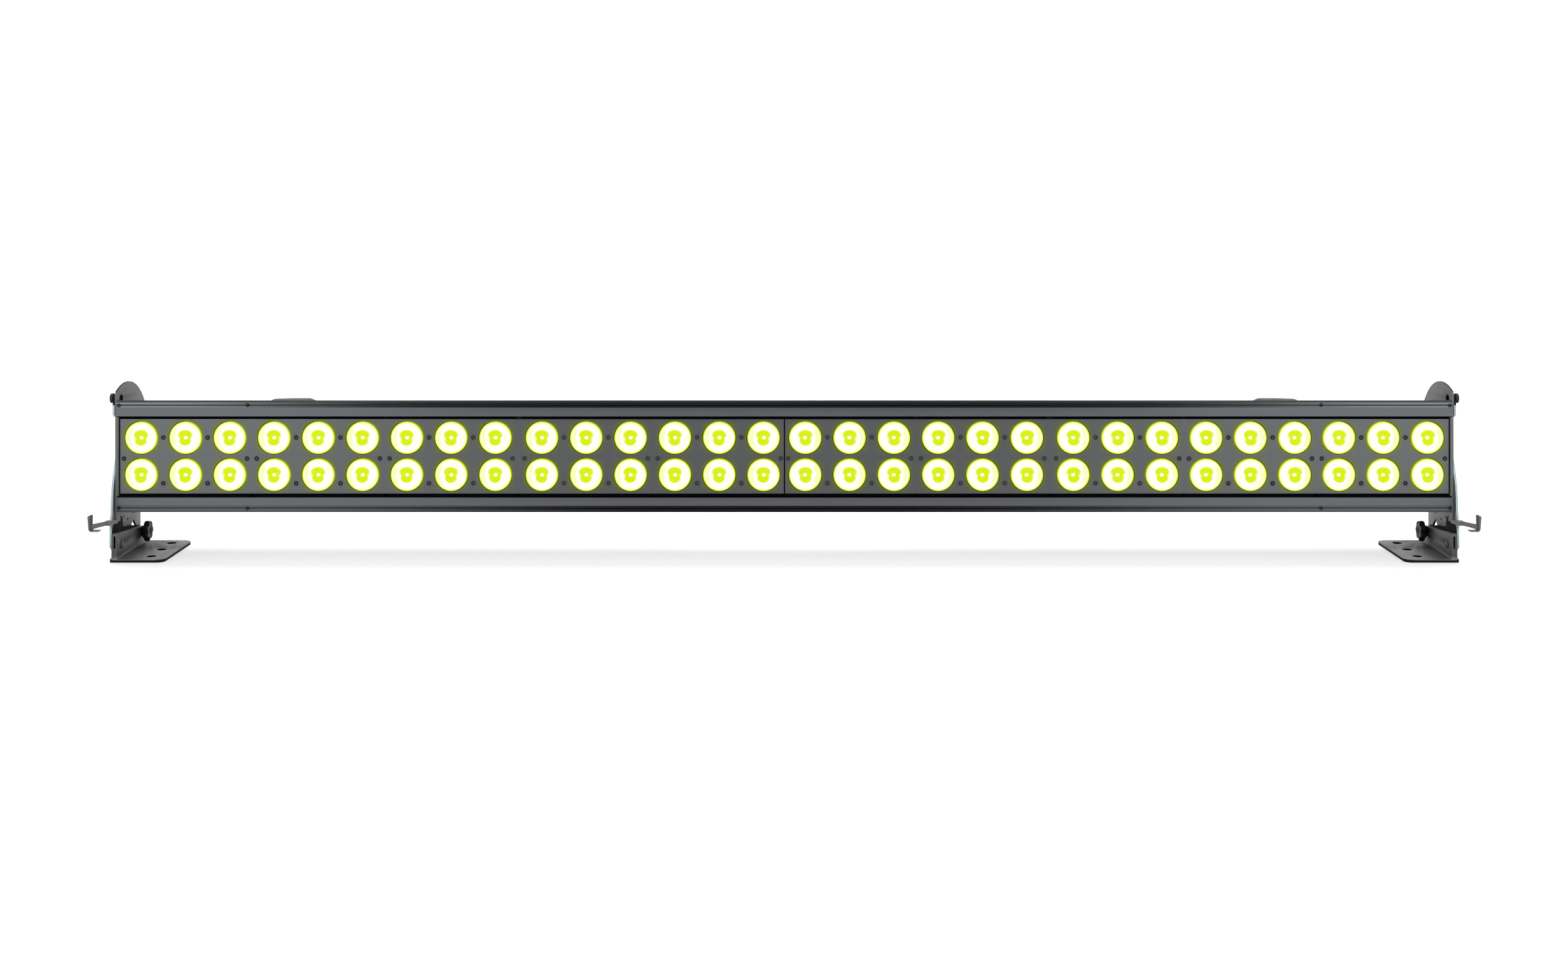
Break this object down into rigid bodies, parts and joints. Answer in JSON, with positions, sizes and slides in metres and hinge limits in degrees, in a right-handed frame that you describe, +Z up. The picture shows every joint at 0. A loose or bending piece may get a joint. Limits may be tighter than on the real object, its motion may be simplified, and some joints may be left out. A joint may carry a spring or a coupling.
{
  "type": "led light bar",
  "caption": "Long two-row LED wash batten on tilting floor brackets, with index plates, star knobs, thumbscrews and lock levers.",
  "frame": {"origin": "middle of the footprint at floor level, under the centre of the bar", "axes": "+X along the bar, +Z up, light leaves towards -Y"},
  "size_m": [1.8896, 0.1567, 0.2384],
  "materials": {
    "housing_paint": "fine textured charcoal powder coat",
    "rail_finish": "satin grey anodised extrusion with fine drawing lines",
    "face_paint": "fine textured grey powder coat",
    "bracket_paint": "textured grey powder coat on sheet steel",
    "lens": "clear moulded lens lit yellow-green",
    "circuit_white": "white solder mask",
    "circuit_green": "green solder mask with parts",
    "bare_aluminium": "folded bare sheet",
    "zinc_steel": "zinc plated",
    "black_plastic": "moulded black",
    "blue_plastic": "moulded blue connector shell",
    "pale_plastic": "moulded grey connector shell",
    "window": "smoked display window"
  },
  "bodies": {
    "head": {"housing": "housing_paint", "top_rail": "rail_finish", "bottom_rail": "rail_finish", "left_face_plate": "face_paint", "left_lens_block_1": "lens", "left_lens_block_2": "lens", "left_lens_block_3": "lens", "left_lens_block_4": "lens", "left_lens_block_5": "lens", "left_led_board": "circuit_white", "left_driver_board": "circuit_green", "left_fan_cowl": "housing_paint", "left_fan_frame": "black_plastic", "left_index_plate": "bracket_paint", "left_pivot_bolt": "zinc_steel", "right_face_plate": "face_paint", "right_lens_block_1": "lens", "right_lens_block_2": "lens", "right_lens_block_3": "lens", "right_lens_block_4": "lens", "right_lens_block_5": "lens", "right_led_board": "circuit_white", "right_driver_board": "circuit_green", "right_fan_cowl": "housing_paint", "right_fan_frame": "black_plastic", "right_index_plate": "bracket_paint", "right_pivot_bolt": "zinc_steel", "power_supply": "bare_aluminium", "control_board": "circuit_green", "rear_panel": "housing_paint", "display_window": "window", "power_inlet": "blue_plastic", "power_outlet": "pale_plastic", "data_input": "black_plastic", "data_output": "black_plastic"},
    "left_bracket": {"left_bracket_arm": "bracket_paint", "left_foot": "bracket_paint", "left_foot_bolt": "zinc_steel", "left_knob_bolt": "zinc_steel", "left_lever_clevis": "bracket_paint", "left_lever_pin": "zinc_steel"},
    "left_star_knob": {"left_star_knob": "black_plastic"},
    "left_thumbscrew": {"left_thumbscrew": "black_plastic"},
    "left_lock_lever": {"left_lock_lever": "bracket_paint"},
    "left_fan_rotor": {"left_fan_rotor": "black_plastic"},
    "right_bracket": {"right_bracket_arm": "bracket_paint", "right_foot": "bracket_paint", "right_foot_bolt": "zinc_steel", "right_knob_bolt": "zinc_steel", "right_lever_clevis": "bracket_paint", "right_lever_pin": "zinc_steel"},
    "right_star_knob": {"right_star_knob": "black_plastic"},
    "right_thumbscrew": {"right_thumbscrew": "black_plastic"},
    "right_lock_lever": {"right_lock_lever": "bracket_paint"},
    "right_fan_rotor": {"right_fan_rotor": "black_plastic"},
    "menu_button_1": {"menu_button_1": "black_plastic"},
    "menu_button_2": {"menu_button_2": "black_plastic"},
    "menu_button_3": {"menu_button_3": "black_plastic"},
    "menu_button_4": {"menu_button_4": "black_plastic"}
  },
  "joints": [
    {"name": "left_bracket_tilt", "type": "hinge", "parent": "head", "child": "left_bracket", "pos_m": [-0.914, -0.01705, 0.141], "axis": [1, 0, 0], "range_deg": [-30, 90]},
    {"name": "left_star_knob_turn", "type": "hinge", "parent": "left_bracket", "child": "left_star_knob", "pos_m": [-0.899, 0.02985, 0.0223], "axis": [1, 0, 0], "range_deg": [0, 810]},
    {"name": "left_thumbscrew_turn", "type": "hinge", "parent": "left_bracket", "child": "left_thumbscrew", "pos_m": [-0.92, -0.03995, 0.2184], "axis": [-1, 0, 0], "range_deg": [0, 1080]},
    {"name": "left_lever_lift", "type": "hinge", "parent": "left_bracket", "child": "left_lock_lever", "pos_m": [-0.9215, -0.07085, 0.053], "axis": [0, 1, 0], "range_deg": [0, 12], "stiffness_Nm_per_rad": 0.6, "springref_deg": -5.73},
    {"name": "left_fan_spin", "type": "hinge", "parent": "head", "child": "left_fan_rotor", "pos_m": [-0.6845, -0.00135, 0.194], "axis": [0, 0, 1], "continuous": true},
    {"name": "right_bracket_tilt", "type": "hinge", "parent": "head", "child": "right_bracket", "pos_m": [0.914, -0.01705, 0.141], "axis": [1, 0, 0], "range_deg": [-30, 90]},
    {"name": "right_star_knob_turn", "type": "hinge", "parent": "right_bracket", "child": "right_star_knob", "pos_m": [0.899, 0.02985, 0.0223], "axis": [-1, 0, 0], "range_deg": [0, 810]},
    {"name": "right_thumbscrew_turn", "type": "hinge", "parent": "right_bracket", "child": "right_thumbscrew", "pos_m": [0.92, -0.03995, 0.2184], "axis": [1, 0, 0], "range_deg": [0, 1080]},
    {"name": "right_lever_lift", "type": "hinge", "parent": "right_bracket", "child": "right_lock_lever", "pos_m": [0.9215, -0.07085, 0.053], "axis": [0, -1, 0], "range_deg": [0, 12], "stiffness_Nm_per_rad": 0.6, "springref_deg": -5.73},
    {"name": "right_fan_spin", "type": "hinge", "parent": "head", "child": "right_fan_rotor", "pos_m": [0.6845, -0.00135, 0.194], "axis": [0, 0, 1], "continuous": true},
    {"name": "menu_button_1_press", "type": "slide", "parent": "head", "child": "menu_button_1", "axis": [0, -1, 0], "range_m": [0, 0.0012], "stiffness_N_per_m": 400, "springref_m": -0.001},
    {"name": "menu_button_2_press", "type": "slide", "parent": "head", "child": "menu_button_2", "axis": [0, -1, 0], "range_m": [0, 0.0012], "stiffness_N_per_m": 400, "springref_m": -0.001},
    {"name": "menu_button_3_press", "type": "slide", "parent": "head", "child": "menu_button_3", "axis": [0, -1, 0], "range_m": [0, 0.0012], "stiffness_N_per_m": 400, "springref_m": -0.001},
    {"name": "menu_button_4_press", "type": "slide", "parent": "head", "child": "menu_button_4", "axis": [0, -1, 0], "range_m": [0, 0.0012], "stiffness_N_per_m": 400, "springref_m": -0.001}
  ]
}
